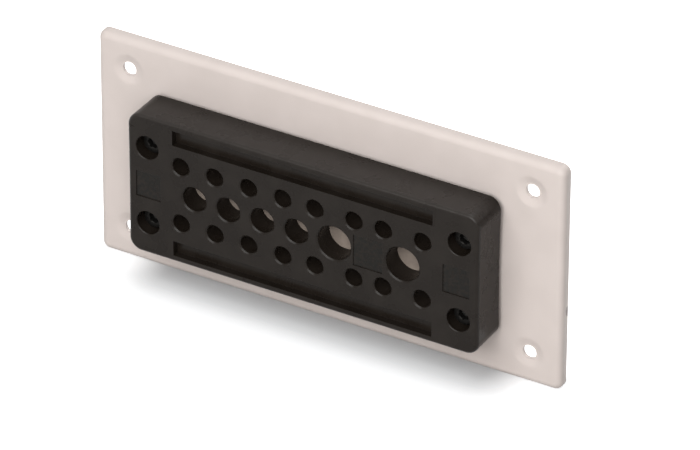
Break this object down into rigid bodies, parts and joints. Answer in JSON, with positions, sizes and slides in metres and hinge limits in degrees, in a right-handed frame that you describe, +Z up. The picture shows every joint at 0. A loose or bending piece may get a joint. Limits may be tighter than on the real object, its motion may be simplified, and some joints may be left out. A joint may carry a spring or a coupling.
{
  "type": "cable entry plate",
  "caption": "Painted flange plate carrying a black moulded housing with a grid of membrane-sealed cable holes; it closes an enclosure opening and lets cables through.",
  "frame": {"origin": "centre of the four corner fixing holes, on the rear of their dished seats", "axes": "+X along the plate, +Z up, +Y into the enclosure, so the cable holes face -Y"},
  "size_m": [0.1944, 0.0253, 0.0938],
  "materials": {
    "plate_paint": "satin powder coat, light grey",
    "housing_plastic": "matte black",
    "mat_elastomer": "matte grey",
    "frame_plastic": "matte black",
    "gasket_rubber": "matte black",
    "gasket_foam": "fine black foam",
    "screw_steel": "black oxide",
    "zinc_steel": "zinc plated"
  },
  "bodies": {
    "root": {"flange_plate": "plate_paint", "housing": "housing_plastic", "membrane_mat": "mat_elastomer", "retaining_frame": "frame_plastic", "housing_gasket": "gasket_rubber", "rim_gasket": "gasket_foam", "housing_screws": "screw_steel", "screw_washers": "screw_steel", "flange_nuts": "zinc_steel"}
  },
  "joints": []
}
